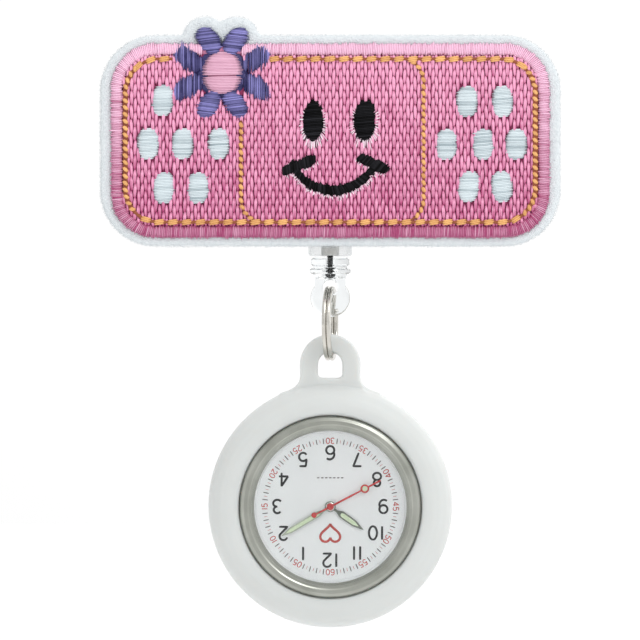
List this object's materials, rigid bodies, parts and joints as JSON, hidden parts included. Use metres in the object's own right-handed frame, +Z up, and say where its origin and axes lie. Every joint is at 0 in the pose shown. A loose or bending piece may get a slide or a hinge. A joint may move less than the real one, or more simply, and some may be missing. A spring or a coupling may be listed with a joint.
{
  "type": "nurse's fob watch on a retractable reel",
  "caption": "Nurse's fob watch: silicone-jacketed steel quartz watch, dial hung upside down, on a retractable clip reel with an embroidered smiling sticking-plaster patch.",
  "frame": {"origin": "middle of the clip's closed jaw mouth, where the garment's edge is gripped", "axes": "+Z up, the watch hangs down along -Z; the dial and the patch face -Y; +Y into the garment; +X to the viewer's right"},
  "size_m": [0.0806, 0.0232, 0.1075],
  "materials": {
    "nickel": "polished nickel plate",
    "spring_steel": "bright spring steel wire",
    "clear_shell": "frosted clear moulding",
    "clear_fitting": "clear moulded plastic",
    "white_plastic": "satin moulded plastic",
    "cord_black": "braided polyester cord",
    "adhesive": "foam adhesive",
    "felt_white": "soft white felt",
    "thread_pink": "embroidery thread, satin sheen",
    "thread_deep_pink": "embroidery thread, satin sheen",
    "thread_orange": "embroidery thread, satin sheen",
    "thread_black": "embroidery thread, satin sheen",
    "thread_white": "embroidery thread, satin sheen",
    "thread_purple": "embroidery thread, satin sheen",
    "silicone_white": "translucent white silicone",
    "case_steel": "brushed top, polished edges",
    "crystal_glass": "polished mineral glass",
    "gasket": "matte",
    "dial_white": "printed satin white",
    "brass": "fine brushed",
    "steel_dark": "ground steel",
    "copper_coil": "enamelled wire",
    "board_green": "solder mask",
    "hand_dark": "gun-metal paint",
    "lume": "luminous fill",
    "hand_red": "gloss red paint"
  },
  "bodies": {
    "clip": {"clip_base": "nickel", "clip_pin": "nickel", "clip_spring": "spring_steel", "swivel_rivet": "nickel", "swivel_washer": "white_plastic"},
    "lever": {"clip_lever": "nickel"},
    "reel": {"reel_back_shell": "clear_shell", "reel_front_shell": "clear_shell", "outlet_bush": "nickel", "mainspring": "spring_steel", "cord_lead": "cord_black", "adhesive_pad": "adhesive", "felt_patch": "felt_white", "embroidery_field": "thread_pink", "embroidery_border": "thread_deep_pink", "outline_stitching": "thread_orange", "face_eyes": "thread_black", "face_mouth": "thread_black", "white_dots": "thread_white", "flower_petals": "thread_purple", "flower_centre": "thread_pink"},
    "spool_body": {"spool": "white_plastic", "wound_cord": "cord_black"},
    "cord_end": {"cord_stub": "cord_black", "cord_knot": "cord_black"},
    "fitting": {"cord_end_fitting": "clear_fitting"},
    "ring": {"split_ring": "nickel"},
    "jacket": {"silicone_jacket": "silicone_white"},
    "head": {"case_middle": "case_steel", "crown_tube": "case_steel", "bezel": "case_steel", "crystal": "crystal_glass", "rehaut_ring": "dial_white", "case_back": "case_steel", "back_gasket": "gasket", "movement_holder": "white_plastic", "dial": "dial_white", "main_plate": "brass", "train_bridge": "brass", "stator": "steel_dark", "coil": "copper_coil", "battery": "case_steel", "battery_clamp": "steel_dark", "circuit_board": "board_green", "quartz_can": "case_steel", "movement_screws": "steel_dark"},
    "stem": {"winding_stem": "steel_dark"},
    "crown_body": {"crown": "case_steel"},
    "seconds": {"second_hand": "hand_red", "fourth_wheel": "brass"},
    "minutes": {"minute_hand": "hand_dark", "minute_hand_lume": "lume", "centre_wheel": "brass"},
    "hours": {"hour_hand": "hand_dark", "hour_hand_lume": "lume", "hour_wheel": "brass"},
    "third": {"third_wheel": "brass"},
    "fifth": {"fifth_wheel": "white_plastic"},
    "rotor_body": {"rotor": "steel_dark"},
    "motion": {"minute_wheel": "brass"}
  },
  "joints": [
    {"name": "jaw_open", "type": "hinge", "parent": "clip", "child": "lever", "pos_m": [0, 0.0027, 0.018], "axis": [1, 0, 0], "range_deg": [0, 20], "stiffness_Nm_per_rad": 0.1, "springref_deg": -28.65, "deforming": ["clip_spring"]},
    {"name": "reel_swivel", "type": "hinge", "parent": "clip", "child": "reel", "pos_m": [0, -0.003, 0.0145], "axis": [0, 1, 0], "continuous": true},
    {"name": "spool_spin", "type": "hinge", "parent": "reel", "child": "spool_body", "pos_m": [0, -0.00725, 0.0145], "axis": [0, 1, 0], "range_deg": [0, 4200], "deforming": ["mainspring"]},
    {"name": "cord_pull", "type": "slide", "parent": "reel", "child": "cord_end", "axis": [0, 0, -1], "range_m": [0, 0.6], "stiffness_N_per_m": 1, "springref_m": -0.6, "deforming": ["cord_stub"]},
    {"name": "fitting_twist", "type": "hinge", "parent": "cord_end", "child": "fitting", "pos_m": [0, -0.00725, -0.0063], "axis": [0, 0, 1], "continuous": true},
    {"name": "ring_swing", "type": "hinge", "parent": "fitting", "child": "ring", "pos_m": [0, -0.00725, -0.00932], "axis": [0, 1, 0], "range_deg": [-60, 60]},
    {"name": "watch_flip", "type": "hinge", "parent": "ring", "child": "jacket", "pos_m": [0, -0.00725, -0.0152], "axis": [0.9925, -0.1219, 0], "range_deg": [-90, 40]},
    {"name": "head_pull_out", "type": "slide", "parent": "jacket", "child": "head", "axis": [0, -1, 0], "range_m": [0, 0.012]},
    {"name": "crown_pull", "type": "slide", "parent": "head", "child": "stem", "axis": [-1, 0, 0], "range_m": [0, 0.0008]},
    {"name": "crown_turn", "type": "hinge", "parent": "stem", "child": "crown_body", "pos_m": [-0.015, -0.0079, -0.0474], "axis": [1, 0, 0], "continuous": true},
    {"name": "second_spin", "type": "hinge", "parent": "head", "child": "seconds", "pos_m": [0, -0.009, -0.0474], "axis": [0, 1, 0], "continuous": true},
    {"name": "minute_spin", "type": "hinge", "parent": "head", "child": "minutes", "pos_m": [0, -0.009, -0.0474], "axis": [0, 1, 0], "continuous": true},
    {"name": "hour_spin", "type": "hinge", "parent": "head", "child": "hours", "pos_m": [0, -0.009, -0.0474], "axis": [0, 1, 0], "continuous": true},
    {"name": "third_spin", "type": "hinge", "parent": "head", "child": "third", "pos_m": [-0.00296, -0.009, -0.04569], "axis": [0, 1, 0], "continuous": true},
    {"name": "fifth_spin", "type": "hinge", "parent": "head", "child": "fifth", "pos_m": [0.0021, -0.009, -0.04619], "axis": [0, 1, 0], "continuous": true},
    {"name": "rotor_spin", "type": "hinge", "parent": "head", "child": "rotor_body", "pos_m": [0.00432, -0.009, -0.04619], "axis": [0, 1, 0], "continuous": true},
    {"name": "minute_wheel_spin", "type": "hinge", "parent": "head", "child": "motion", "pos_m": [0, -0.009, -0.04982], "axis": [0, 1, 0], "continuous": true}
  ],
  "couplings": [
    {"joint": "spool_spin", "follows": "cord_pull", "rad_per_m": 120},
    {"joint": "minute_spin", "follows": "second_spin", "ratio": 0.016667},
    {"joint": "hour_spin", "follows": "second_spin", "ratio": 0.0013889},
    {"joint": "third_spin", "follows": "second_spin", "ratio": -0.13333},
    {"joint": "fifth_spin", "follows": "second_spin", "ratio": -5},
    {"joint": "rotor_spin", "follows": "second_spin", "ratio": 30},
    {"joint": "minute_wheel_spin", "follows": "second_spin", "ratio": -0.0055556}
  ]
}
